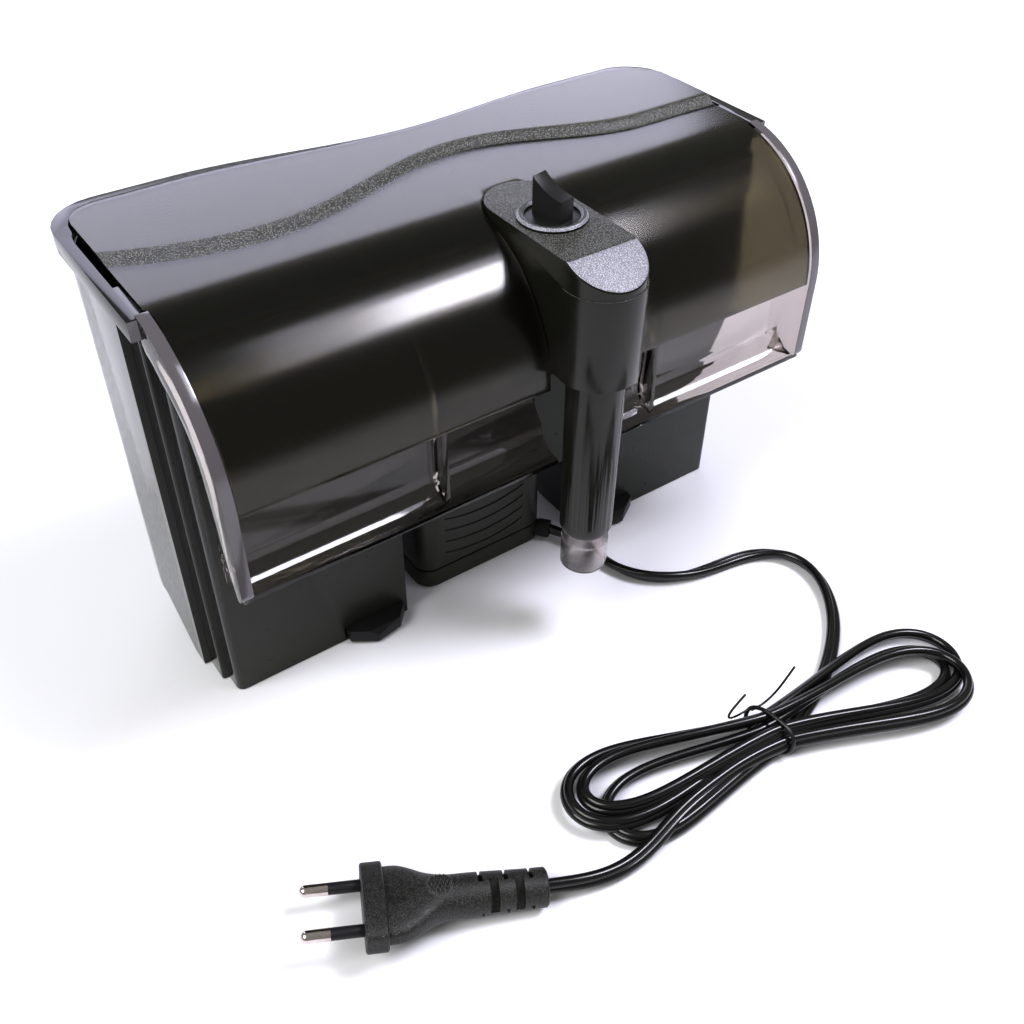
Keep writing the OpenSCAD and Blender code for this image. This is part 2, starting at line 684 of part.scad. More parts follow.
module plug_body() at_plug() color([0.05, 0.05, 0.05]) difference() {
    union() {
        rotate([90, 0, 90]) linear_extrude(face_t) rounded(-17.6, -6.8, 17.6, 6.8, 4, 4);
        intersection() {
            translate([0, 0, -8]) linear_extrude(16) plug_plan();
            rotate([90, 0, 0]) linear_extrude(40, center = true)
                polygon([[4, -6.2], [neck_x, -5], [neck_x, 5], [4, 6.2]]);
        }
        translate([neck_x - 3, 0, 0]) rotate([0, 90, 0])
            cylinder(d = 7.6, h = plug_len - neck_x + 3);
        for (i = [0 : 2]) translate([neck_x + cut_gap + relief_step * i, 0, 0]) rotate([0, 90, 0])
            cylinder(r = neck_r - i / 2, h = relief_step - cut_gap);
        for (s = [0, 1]) mirror([0, 0, s]) thumb_ribs();
    }
    for (s = [-1, 1]) translate([-1, s * pin_gap / 2, 0]) rotate([0, 90, 0])
        cylinder(d = 3.2, h = 6);
}

module pin_sleeves() at_plug() color([0.04, 0.04, 0.04]) for (s = [-1, 1])
    translate([-10, s * pin_gap / 2, 0]) rotate([0, 90, 0]) difference() {
        cylinder(d = pin_d - 0.2, h = 10);
        translate([0, 0, -1]) cylinder(d = 3.1, h = 20);
    }

module plug_pins() at_plug() color([0.75, 0.76, 0.78]) for (s = [-1, 1])
    translate([-pin_len, s * pin_gap / 2, 0]) rotate([0, 90, 0]) {
        translate([0, 0, pin_d / 2]) sphere(d = pin_d);
        translate([0, 0, pin_d / 2]) cylinder(d = pin_d, h = pin_len - 10 - pin_d / 2);
        cylinder(d = 3.1, h = pin_len + 4);
    }

filter_case();
lid();
intake_elbow();
elbow_seal();
flow_knob();
flow_gate();
intake_tube();
extension_tube();
impeller_cover();
cover_bush();
impeller();
rotor_magnet();
impeller_shaft();
well_bush();
motor_housing();
motor_cover();
motor_seal();
stator_core();
coil_bobbin();
stator_coils();
cord_gland();
left_cartridge_frame();
left_floss_pad();
left_bio_sponge();
right_cartridge_frame();
right_floss_pad();
right_bio_sponge();
left_leveller();
right_leveller();
cord_lead();
cord_hank();
cord_tail();
cord_tie();
plug_body();
pin_sleeves();
plug_pins();
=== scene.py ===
"""Looks of a hang on back aquarium filter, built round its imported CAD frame.

Working lengths are millimetres from the plane of the tank side of the chambers: X along the
tank wall, Y away from the tank, Z up. at() turns such a point into the CAD frame, in metres.
"""
import json
import math

import bmesh
import bpy
import numpy as np
from mathutils import Euler, Matrix, Vector


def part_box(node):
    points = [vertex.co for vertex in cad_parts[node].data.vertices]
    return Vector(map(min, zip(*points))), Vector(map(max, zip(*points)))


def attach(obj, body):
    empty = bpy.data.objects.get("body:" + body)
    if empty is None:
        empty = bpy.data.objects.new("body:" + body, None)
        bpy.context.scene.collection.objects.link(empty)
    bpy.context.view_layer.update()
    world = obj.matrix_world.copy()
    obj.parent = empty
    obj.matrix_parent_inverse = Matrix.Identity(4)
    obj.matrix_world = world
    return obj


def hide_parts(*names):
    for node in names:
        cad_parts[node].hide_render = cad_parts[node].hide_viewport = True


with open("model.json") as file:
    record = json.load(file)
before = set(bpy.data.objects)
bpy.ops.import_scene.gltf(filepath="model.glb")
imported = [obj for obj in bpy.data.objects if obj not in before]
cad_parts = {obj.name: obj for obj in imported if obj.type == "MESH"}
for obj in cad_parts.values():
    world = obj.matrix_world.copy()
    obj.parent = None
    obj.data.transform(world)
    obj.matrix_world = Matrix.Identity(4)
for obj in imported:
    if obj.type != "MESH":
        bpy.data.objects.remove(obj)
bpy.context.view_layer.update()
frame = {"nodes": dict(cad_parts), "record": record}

MM = 0.001
MOTOR_FRONT = 5.0
TANK_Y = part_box("motor_cover")[0].y - MOTOR_FRONT * MM


def at(x, y, z):
    """A point given in millimetres from the tank plane, in the CAD frame in metres."""
    return Vector((x * MM, y * MM + TANK_Y, z * MM))


def ease(t):
    """Smooth step from 0 to 1."""
    t = min(1.0, max(0.0, t))
    return t * t * (3 - 2 * t)


# ---- Camera ---------------------------------------------------------------------------

CAMERA_AT = (-189.71, -274.5, 330.67)
CAMERA_PITCH = math.radians(41.93)
CAMERA_YAW = math.radians(35.76)
CAMERA_ROLL = math.radians(-0.8)
CAMERA_LENS = 39.47
SENSOR_WIDTH = 36


def make_camera():
    forward = Vector((math.sin(CAMERA_YAW) * math.cos(CAMERA_PITCH),
                      math.cos(CAMERA_YAW) * math.cos(CAMERA_PITCH),
                      -math.sin(CAMERA_PITCH)))
    level = Vector((math.cos(CAMERA_YAW), -math.sin(CAMERA_YAW), 0))
    down = forward.cross(level)
    right = level * math.cos(CAMERA_ROLL) + down * math.sin(CAMERA_ROLL)
    down = down * math.cos(CAMERA_ROLL) - level * math.sin(CAMERA_ROLL)
    data = bpy.data.cameras.new("camera")
    data.lens = CAMERA_LENS
    data.sensor_width = SENSOR_WIDTH
    data.clip_start = 0.01
    camera = bpy.data.objects.new("camera", data)
    axes = Matrix((right, -down, -forward)).transposed()
    camera.matrix_world = Matrix.Translation(at(*CAMERA_AT)) @ axes.to_4x4()
    bpy.context.scene.collection.objects.link(camera)
    bpy.context.scene.camera = camera


make_camera()

# ---- Materials ------------------------------------------------------------------------


class Surface:
    """A node material under construction: one Principled shader and helpers for its detail."""

    def __init__(self, name, colour, roughness, **sockets):
        self.material = bpy.data.materials.new(name)
        self.material.use_nodes = True
        self.nodes = self.material.node_tree.nodes
        self.links = self.material.node_tree.links
        self.shader = self.nodes["Principled BSDF"]
        self.shader.inputs["Base Color"].default_value = (*colour, 1)
        self.shader.inputs["Roughness"].default_value = roughness
        for socket, value in sockets.items():
            self.shader.inputs[socket.replace("_", " ")].default_value = value
        self.place = self.nodes.new("ShaderNodeTexCoord").outputs["Object"]

    def noise(self, scale, detail=2.0, stretch=(1, 1, 1)):
        """Noise of about 1 / scale metres across."""
        mapping = self.nodes.new("ShaderNodeMapping")
        mapping.inputs["Scale"].default_value = stretch
        self.links.new(self.place, mapping.inputs["Vector"])
        node = self.nodes.new("ShaderNodeTexNoise")
        node.inputs["Scale"].default_value = scale
        node.inputs["Detail"].default_value = detail
        self.links.new(mapping.outputs[0], node.inputs["Vector"])
        return node.outputs["Fac"]

    def specks(self, scale):
        """Distance from scattered points about 1 / scale metres apart, in those units."""
        node = self.nodes.new("ShaderNodeTexVoronoi")
        node.inputs["Scale"].default_value = scale
        self.links.new(self.place, node.inputs["Vector"])
        return node.outputs["Distance"]

    def spread(self, value, low, high, start=0.3, end=0.7):
        """value, mapped from start..end to low..high."""
        node = self.nodes.new("ShaderNodeMapRange")
        node.inputs["From Min"].default_value = start
        node.inputs["From Max"].default_value = end
        node.inputs["To Min"].default_value = low
        node.inputs["To Max"].default_value = high
        self.links.new(value, node.inputs["Value"])
        return node.outputs["Result"]

    def tint(self, value, low, high):
        """Base colour that runs from low to high with value."""
        node = self.nodes.new("ShaderNodeMix")
        node.data_type = "RGBA"
        node.inputs[6].default_value = (*low, 1)
        node.inputs[7].default_value = (*high, 1)
        self.links.new(value, node.inputs[0])
        self.links.new(node.outputs[2], self.shader.inputs["Base Color"])

    def rough(self, value):
        self.links.new(value, self.shader.inputs["Roughness"])

    def bump(self, value, depth, strength=1.0):
        """Relief of about depth metres."""
        node = self.nodes.new("ShaderNodeBump")
        node.inputs["Strength"].default_value = strength
        node.inputs["Distance"].default_value = depth
        self.links.new(value, node.inputs["Height"])
        self.links.new(node.outputs[0], self.shader.inputs["Normal"])


def gloss(name, colour, roughness, level=0.4):
    """Polished moulded plastic with faint flow marks and fine scuffs."""
    made = Surface(name, colour, roughness, Specular_IOR_Level=level)
    scuff = made.noise(900, 4, (1, 1, 0.3))
    made.rough(made.spread(scuff, roughness * 0.75, roughness * 1.5))
    made.bump(made.noise(60, 1), 0.00002)
    return made.material


def smoked(name, colour, roughness, level=0.5):
    """Clear smoked plastic; light that crosses one wall is tinted by colour twice."""
    made = Surface(name, colour, roughness, Specular_IOR_Level=level, Transmission_Weight=1.0)
    made.bump(made.noise(45, 1), 0.00003)
    return made.material


def sleek(name, colour, roughness):
    """Smooth extruded or drawn surface, a little uneven along its length."""
    made = Surface(name, colour, roughness)
    made.rough(made.spread(made.noise(160, 2), roughness * 0.85, roughness * 1.2))
    made.bump(made.noise(90, 1), 0.00004)
    return made.material


def satin(name, colour, roughness, grain=2600, depth=0.00002, level=0.3):
    """Fine-grained moulded plastic."""
    made = Surface(name, colour, roughness, Specular_IOR_Level=level)
    made.tint(made.spread(made.noise(25, 2), 0, 1), [c * 0.92 for c in colour],
              [c * 1.08 for c in colour])
    made.rough(made.spread(made.noise(180, 3), roughness * 0.85, roughness * 1.15))
    made.bump(made.noise(grain, 2), depth, 0.6)
    return made.material


def spark_with_painted_glints(name, low, high, roughness, scale=1700, depth=0.00012):
    """Spark-eroded texture whose small grains catch the light and are also painted lighter, from
    low to high, as painted glints.
    """
    made = Surface(name, high, roughness)
    grain = made.spread(made.specks(scale), 1, 0, 0.1, 0.5)
    # Painted glints: the grains' centres take the lighter colour high
    made.tint(grain, low, high)
    made.rough(made.spread(grain, roughness * 1.2, roughness * 0.7))
    made.bump(grain, depth)
    return made.material


def metal(name, colour, roughness, stretch=(1, 1, 1)):
    """Bare metal with fine brushing or grain."""
    made = Surface(name, colour, roughness, Metallic=1.0)
    grain = made.noise(700, 4, stretch)
    made.rough(made.spread(grain, roughness * 0.7, roughness * 1.4))
    made.bump(grain, 0.00002, 0.5)
    return made.material


def sleek_metal(name, colour, roughness):
    """Plated metal with soft waviness and slight tarnish."""
    made = Surface(name, colour, roughness, Metallic=1.0)
    cloud = made.noise(350, 2)
    made.tint(made.spread(cloud, 0, 1), [c * 0.8 for c in colour], colour)
    made.rough(made.spread(cloud, roughness * 1.4, roughness * 0.8))
    made.bump(made.noise(220, 1), 0.00006)
    return made.material


def fibre(name, low, high, scale):
    """Matted fibres or open foam."""
    made = Surface(name, high, 0.9)
    cell = made.noise(scale, 6)
    made.tint(made.spread(cell, 0, 1, 0.35, 0.6), low, high)
    made.bump(cell, 0.0006)
    return made.material


MATERIALS = {
    "case_plastic": satin("case_satin", (0.026, 0.028, 0.021), 0.32),
    "lid_plastic": smoked("lid_smoked", (0.20, 0.18, 0.115), 0.16),
    "intake_plastic": sleek("intake_gloss", (0.011, 0.011, 0.008), 0.19),
    "knob_plastic": satin("knob_satin", (0.018, 0.018, 0.019), 0.36),
    "clear_plastic": smoked("smoke_clear", (0.80, 0.74, 0.73), 0.18),
    "motor_plastic": satin("motor_satin", (0.03, 0.031, 0.024), 0.36),
    "foot_plastic": satin("foot_satin", (0.012, 0.012, 0.013), 0.4),
    "impeller_plastic": satin("impeller_acetal", (0.72, 0.72, 0.69), 0.4),
    "black_rubber": satin("rubber", (0.014, 0.014, 0.014), 0.6),
    "ferrite": satin("ferrite", (0.05, 0.05, 0.055), 0.55),
    "ceramic_shaft": gloss("ceramic", (0.82, 0.82, 0.80), 0.2),
    "lamination_steel": metal("laminations", (0.45, 0.46, 0.47), 0.35, (1, 1, 40)),
    "bobbin_nylon": satin("nylon", (0.66, 0.62, 0.5), 0.45),
    "copper_wire": metal("copper", (0.72, 0.32, 0.14), 0.3, (1, 12, 1)),
    "frame_plastic": satin("frame_blue", (0.02, 0.06, 0.2), 0.4),
    "floss": fibre("floss", (0.6, 0.63, 0.66), (0.88, 0.9, 0.92), 1400),
    "sponge": fibre("sponge", (0.004, 0.004, 0.004), (0.03, 0.032, 0.032), 1100),
    "cord_pvc": sleek("cord_pvc", (0.008, 0.008, 0.008), 0.20),
    "tie_wire": sleek("tie_wire", (0.010, 0.010, 0.010), 0.28),
    # The plug's grains are painted lighter grey as painted glints
    "plug_pvc": spark_with_painted_glints("plug_pvc", (0.016, 0.016, 0.015), (0.075, 0.075, 0.070), 0.38, 2300,
                      0.00007),
    "pin_sleeve": satin("pin_sleeve", (0.02, 0.02, 0.023), 0.36),
    "pin_metal": sleek_metal("pin_nickel", (0.78, 0.69, 0.68), 0.16),
}
SPILLWAY = smoked("spillway_smoked", (0.52, 0.47, 0.45), 0.05, 0.35)
PLATE_EDGE = gloss("plate_edge", (0.11, 0.10, 0.11), 0.12, 0.9)
CASE_SIDE = gloss("case_side", (0.012, 0.012, 0.013), 0.10)
# The wave's grains are painted light grey as painted glints on the lid's own plastic
WAVE = spark_with_painted_glints("wave_spark", (0.03, 0.03, 0.027), (0.30, 0.30, 0.28), 0.40, 1900, 0.00008)
# The elbow top's grains are painted light grey as painted glints on the elbow's dark plastic
ELBOW_TOP = spark_with_painted_glints("elbow_spark", (0.022, 0.022, 0.019), (0.26, 0.26, 0.24), 0.42, 2300, 0.00008)
# The sloped cap is the same dark plastic as the top, painted light lavender as a painted
# reflection of the soft box
ELBOW_CAP_PAINTED_REFLECTION = spark_with_painted_glints("elbow_cap_painted_reflection", (0.20, 0.20, 0.23), (0.66, 0.66, 0.77), 0.34, 2600, 0.00004)
SLOT_OF = {part["node"]: part["material_slot"] for part in frame["record"]["subparts"]}
BODY_OF = {node: body for body, nodes in frame["record"]["behaviour"]["bodies"].items()
           for node in nodes}

for node, obj in frame["nodes"].items():
    obj.data.materials.clear()
    obj.data.materials.append(MATERIALS[SLOT_OF[node]])

# ---- Meshes ---------------------------------------------------------------------------


def new_object(name, mesh):
    obj = bpy.data.objects.new(name, mesh)
    bpy.context.scene.collection.objects.link(obj)
    return obj


def from_bmesh(name, bm):
    mesh = bpy.data.meshes.new(name)
    bm.to_mesh(mesh)
    bm.free()
    return new_object(name, mesh)


def soften(bm, limit=30):
    """Smooth shading with edges kept sharp past limit degrees."""
    for face in bm.faces:
        face.smooth = True
    for edge in bm.edges:
        if len(edge.link_faces) == 2:
            edge.smooth = edge.calc_face_angle(math.pi) < math.radians(limit)


def turns(count):
    """Angles of count equal steps round a circle."""
    return [2 * math.pi * k / count for k in range(count)]


def skin(bm, rings, capped=True):
    """Quads between rings of vertices that follow each other, and both ends closed if capped."""
    for ring, after in zip(rings, rings[1:]):
        for k in range(len(ring)):
            bm.faces.new((ring[k - 1], ring[k], after[k], after[k - 1]))
    if capped:
        bm.faces.new(rings[0])
        bm.faces.new(rings[-1][::-1])


def outward(name, bm, limit):
    """An object from bm with its normals outward, smooth up to limit degrees."""
    bmesh.ops.recalc_face_normals(bm, faces=bm.faces)
    soften(bm, limit)
    return from_bmesh(name, bm)


def from_tank(point):
    """A point of the CAD frame in metres, given in millimetres from the tank plane."""
    return Vector((point.x, point.y - TANK_Y, point.z)) / MM


WELD = 0.01
FLAT_WITHIN = math.radians(0.6)
SHARP_PAST = math.radians(28)


def sharp_edges(bm):
    return [e for e in bm.edges if len(e.link_faces) == 2 and e.calc_face_angle(0) > SHARP_PAST]


def finished_copy(node, bevel, materials=(), choose=None, rim=None, rim_width=0):
    """A copy of a CAD node's mesh with its hard edges rounded by bevel millimetres, and first
    those that rim picks by rim_width. choose gives a face the number of its material from its
    centre in millimetres and its normal."""
    bm = bmesh.new()
    bm.from_mesh(frame["nodes"][node].data)
    bmesh.ops.remove_doubles(bm, verts=bm.verts, dist=WELD * MM)
    bmesh.ops.dissolve_limit(bm, angle_limit=FLAT_WITHIN, verts=bm.verts, edges=bm.edges,
                             delimit={"NORMAL"})
    if rim:
        edges = [e for e in sharp_edges(bm)
                 if rim(from_tank((e.verts[0].co + e.verts[1].co) / 2), e.link_faces)]
        bmesh.ops.bevel(bm, geom=edges, offset=rim_width * MM, segments=4, profile=0.5,
                        affect="EDGES", clamp_overlap=False)
    bmesh.ops.bevel(bm, geom=sharp_edges(bm), offset=bevel * MM, segments=2, profile=0.6,
                    affect="EDGES", clamp_overlap=True)
    soften(bm)
    if choose:
        for face in bm.faces:
            face.material_index = choose(from_tank(face.calc_center_median()), face.normal)
    obj = from_bmesh(node + "_moulded", bm)
    for material in (MATERIALS[SLOT_OF[node]], *materials):
        obj.data.materials.append(material)
    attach(obj, BODY_OF[node])
    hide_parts(node)
    return obj


# ---- Cord -----------------------------------------------------------------------------

CORD_WIDTH = 5.6
CORD_CORE = 1.7
CORD_SPAN = 1.1
CORD_STEP = 1.4
CORD_LIFT = 0.15
SOFT_LIMIT = 60
GROUND = 2.8
TIE = (29.5, -129.0)
# Each point is x, y, z and the roll of the flat cord in degrees
LEAD = [(29.55, 2.45, 4.4, 70), (33, -3, 4.2, 60), (35.5, -10, 3.2, 40), (37.5, -18, 2.8, 30),
        (39, -27, 2.8, 40), (42, -36, 2.8, 60), (48, -44, 2.8, 80), (57, -49.5, 2.8, 60),
        (68, -52.5, 2.8, 25), (80, -54, 2.8, 8), (90, -56, 2.8, 10), (99, -60.5, 2.8, 35),
        (105, -68.5, 2.8, 60), (106, -79, 2.8, 55), (102, -90, 2.8, 40), (94, -101, 2.8, 25),
        (84, -110, 2.8, 15), (72, -118, 2.8, 10), (60, -124, 2.8, 10), (48, -128, 2.8, 15)]
TAIL = [(14, -133.6, 6.4, 65), (2, -133.9, 6.4, 60), (-12, -134.8, 6.4, 50),
        (-24, -136.8, 5.6, 45), (-37, -139.6, 3.6, 50), (-50, -139.8, 4, 60),
        (-61.5, -136.7, 5.4, 70), (-71.6, -132, 6.2, 80)]
# The hank's lobes in the order that the cord runs through them: far tip x and y, half the
# lobe's width, height of the tip, and the y and z at which it comes back to the tie
HANK_START = (-134.4, 2.8)
LOBES = [(-40.5, -125.0, 13.0, 2.8, -126.6, 6.2), (110.5, -141.0, 12.0, 2.8, -131.0, 6.2),
         (-48.0, -111.5, 15.0, 5.6, -122.8, 6.2), (117.5, -139.0, 17.0, 3.2, -132.2, 9.6),
         (-42.5, -112.5, 11.0, 6.6, -124.6, 9.6), (110.5, -150.0, 15.5, 6.8, -135.6, 6.4)]
LOBE_STEPS = 12
LOBE_ROLL = 62
LOBE_BEND = 1.6
TEARDROP_WIDEST = 0.65
CURVE_STEPS = 12
SMOOTHING_PASSES = 60


def lobe_points(start, lobe):
    """Points round one teardrop lobe, from the tie to its tip and back to the tie."""
    tip_x, tip_y, half_width, tip_z, end_y, end_z = lobe
    axis = np.array([tip_x - TIE[0], tip_y - TIE[1]])
    across = np.array([-axis[1], axis[0]]) / np.hypot(*axis) * half_width / TEARDROP_WIDEST
    points = []
    for step in range(1, LOBE_STEPS):
        share = step / LOBE_STEPS
        turn = 2 * math.pi * share
        out = (1 - math.cos(turn)) / 2
        side = math.sin(turn) * math.sin(turn / 2) ** 2
        base_y = start[0] + (end_y - start[0]) * ease(share)
        base_z = start[1] + (end_z - start[1]) * share
        spot = np.array([TIE[0], base_y]) + axis * out + across * side
        spot[1] += (TIE[1] - base_y) * ease(out * LOBE_BEND)
        height = base_z + (tip_z - base_z) * out ** LOBE_BEND
        points.append((spot[0], spot[1], height, LOBE_ROLL))
    return points


def cord_route():
    """The whole cord's points: lead, hank and tail."""
    points = list(LEAD)
    points.append((38, -131.6, GROUND, 25))
    column = HANK_START
    points.append((TIE[0], *column, 35))
    for lobe in LOBES:
        points += lobe_points(column, lobe)
        column = lobe[4:]
        points.append((TIE[0], *column, LOBE_ROLL))
    return points + TAIL


def smooth_route(points, gap):
    """Points about gap apart on a smooth curve through points, of any number of columns."""
    points = np.array(points, float)
    padded = np.vstack([2 * points[0] - points[1], points, 2 * points[-1] - points[-2]])
    dense = []
    for i in range(len(points) - 1):
        a, b, c, d = padded[i:i + 4]
        for t in np.linspace(0, 1, CURVE_STEPS, endpoint=False):
            dense.append(0.5 * (2 * b + (c - a) * t + (2 * a - 5 * b + 4 * c - d) * t ** 2
                                + (3 * b - a - 3 * c + d) * t ** 3))
    dense = np.array(dense + [points[-1]])
    for _ in range(SMOOTHING_PASSES):
        dense[1:-1] += 0.5 * ((dense[:-2] + dense[2:]) / 2 - dense[1:-1])
    run = np.r_[0, np.cumsum(np.linalg.norm(np.diff(dense[:, :3], axis=0), axis=1))]
    even = np.linspace(0, run[-1], int(run[-1] / gap) + 1)
    return np.column_stack([np.interp(even, run, column) for column in dense.T]), run[-1]


def twin_section(count=28):
    """Outline of a flat twin cord: two round cores side by side with a groove between."""
    outline = []
    for t in turns(count):
        reach = CORD_SPAN * abs(math.cos(t))
        reach += math.sqrt(CORD_CORE ** 2 - (CORD_SPAN * math.sin(t)) ** 2)
        outline.append((reach * math.cos(t), reach * math.sin(t)))
    return outline


def make_cord():
    route, length = smooth_route(cord_route(), CORD_STEP)
    outline = twin_section()
    bm = bmesh.new()
    rings, line = [], []
    for i, (x, y, z, roll) in enumerate(route):
        ahead = route[min(i + 1, len(route) - 1)][:3] - route[max(i - 1, 0)][:3]
        tangent = Vector(ahead).normalized()
        side = tangent.cross(Vector((0, 0, 1))).normalized()
        up = side.cross(tangent)
        angle = math.radians(roll)
        wide = side * math.cos(angle) + up * math.sin(angle)
        thin = tangent.cross(wide)
        half = math.hypot(CORD_WIDTH / 2 * math.sin(angle), CORD_CORE * math.cos(angle))
        centre = Vector((x, y, z - GROUND + half + CORD_LIFT))
        line.append(at(*centre))
        rings.append([bm.verts.new(at(*(centre + wide * a + thin * b))) for a, b in outline])
    skin(bm, rings)
    cord = outward("mains_cord", bm, SOFT_LIMIT)
    cord.data.materials.append(MATERIALS["cord_pvc"])
    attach(cord, "case")
    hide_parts("cord_lead", "cord_hank", "cord_tail")
    return cord, length * MM, line


def tube_mesh(name, points, radius, sides=12, closed=False):
    """A round tube through points, in millimetres from the tank plane."""
    bm = bmesh.new()
    rings = []
    count = len(points)
    for i in range(count):
        before = points[i - 1] if closed or i else points[0]
        after = points[(i + 1) % count] if closed or i < count - 1 else points[-1]
        tangent = (Vector(after) - Vector(before)).normalized()
        side = tangent.orthogonal().normalized()
        if abs(tangent.x) < 0.9:
            side = tangent.cross(Vector((1, 0, 0))).normalized()
        up = tangent.cross(side)
        centre = Vector(points[i])
        spokes = [side * math.cos(a) + up * math.sin(a) for a in turns(sides)]
        rings.append([bm.verts.new(at(*(centre + radius * spoke))) for spoke in spokes])
    skin(bm, rings + rings[:1] if closed else rings, capped=not closed)
    return outward(name, bm, SOFT_LIMIT)


# The tie's loop: half its width and height, the height of its middle, how far that lies behind
# the waist's, how far it leans over and how far it turns across the hank
LOOP_HALF = (10.2, 6.0)
LOOP_MIDDLE = 6.8
LOOP_BEHIND = 0.3
LOOP_LEAN = 1.6
LOOP_TURN = 0.12
LOOP_RADIUS = 0.75
END_RADIUS = 0.42
TIE_ENDS = [[(TIE[0] - 1, TIE[1] + LOOP_HALF[0], 9), (21.5, -118.4, 8.6), (16.8, -119, 13.0),
             (19.9, -119.4, 18), (23.1, -120, 22.3)],
            [(TIE[0] + 1, TIE[1] + LOOP_HALF[0], 7), (37.5, -118.5, 5.5), (42.5, -119.2, 10.5),
             (45, -119.6, 15.2), (47.8, -120, 20.5)]]


def squared(value, power=0.8):
    """A sine or cosine, drawn out towards 1 and -1."""
    return math.copysign(abs(value) ** power, value)


def make_tie():
    """Wire loop round the hank's waist, with two free ends that stand up behind it."""
    loop = []
    for a in turns(40):
        y = TIE[1] + LOOP_BEHIND + LOOP_HALF[0] * squared(math.cos(a))
        z = LOOP_MIDDLE + LOOP_HALF[1] * squared(math.sin(a))
        x = TIE[0] + LOOP_LEAN * math.sin(a) - LOOP_TURN * (y - TIE[1])
        loop.append((x, y, z))
    ring = tube_mesh("tie_wire_loop", loop, LOOP_RADIUS, closed=True)
    for i, end in enumerate(TIE_ENDS):
        path = smooth_route(end, 1.0)[0]
        wire = tube_mesh(f"tie_wire_end_{i + 1}", [tuple(p) for p in path], END_RADIUS)
        wire.parent = ring
        wire.data.materials.append(MATERIALS["tie_wire"])
    ring.data.materials.append(MATERIALS["tie_wire"])
    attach(ring, "case")
    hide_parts("cord_tie")
    return ring


# ---- Plug -----------------------------------------------------------------------------

# Plug frame: X towards the cord, Y across, Z up, with its origin in the middle of the pin face
PLUG_AT = (-123.7, -107.4, 10.9)
PLUG_TILT = (math.radians(-16), math.radians(4.7), math.radians(-25.3))
FACE_HALF = (16.2, 6.8)
FACE_THICK = 7.0
FACE_SQUARE = 5.5
FACE_EDGE = 0.6
BODY_HALF = (14.7, 5.7)
BODY_SQUARE = 3.8
NECK = 6.8
NECK_SQUARE = 2.1
PLUG_LENGTH = 57.8
END_EDGE = 0.8
# Changes of the plug's section, as where each starts and how long it takes
NARROWING = (9.5, 18)
THICKENING = (14, 12)
ROUNDING = (12, 14)
TAPERING = (30, 25)
PIN_GAP = 18.6
PIN_RADIUS = 2.0
PIN_LENGTH = 19.0
PIN_CORE = 1.5
PIN_ROOT = 3.0
SLEEVE_LENGTH = 10.0
# Cuts of the strain relief, as its middle and width: those in its sides and in its top and bottom
SIDE_CUTS = [(36.4, 1.3), (44.4, 1.3), (52.4, 1.3)]
TOP_CUTS = [(40.4, 2.8), (48.4, 2.8)]
# Half the thickness that each kind of cut leaves, and how far to either side it reaches
SIDE_CUT = (3.2, 4.4)
TOP_CUT = (3.4, 5.0)
CUT_TURN = math.radians(58)
# The face and body are six-sided: this share of their height is lost towards each side, as far
# as the ridge runs and over its fading length
RIDGE = 0.33
RIDGE_END = 26
RIDGE_FADE = 8
# Hollow for the fingers behind the face
HOLLOW = 0.14
HOLLOW_END = 15
# Thumb grip: its place along the plug and its radius, the height that it may reach, and its
# teeth's pitch along and across the plug
GRIP = (23.6, 4.3)
GRIP_TOP = 7.5
GRIP_PITCH = (1.2, 2.4)
SKIN_POINTS = 120


def share_of(x, change):
    """How much of a change of section has happened at x, from 0 to 1."""
    start, length = change
    return ease((x - start) / length)


def plug_section(x):
    """Half width, half height and squareness of the plug at x."""
    if x <= FACE_THICK:
        nearest = min(1, x / FACE_EDGE, (FACE_THICK - x) / FACE_EDGE)
        rounding = FACE_EDGE * (1 - nearest) ** 2
        return FACE_HALF[0] - rounding, FACE_HALF[1] - rounding, FACE_SQUARE
    taper = 0.7 * share_of(x, TAPERING)
    taper += END_EDGE * max(0, (x - PLUG_LENGTH + END_EDGE) / END_EDGE) ** 2
    width = BODY_HALF[0] + (NECK - BODY_HALF[0]) * share_of(x, NARROWING) - taper
    height = BODY_HALF[1] + (NECK - BODY_HALF[1]) * share_of(x, THICKENING) - taper
    return width, height, BODY_SQUARE + (NECK_SQUARE - BODY_SQUARE) * share_of(x, ROUNDING)


def in_cut(x, cuts):
    return any(abs(x - middle) < width / 2 for middle, width in cuts)


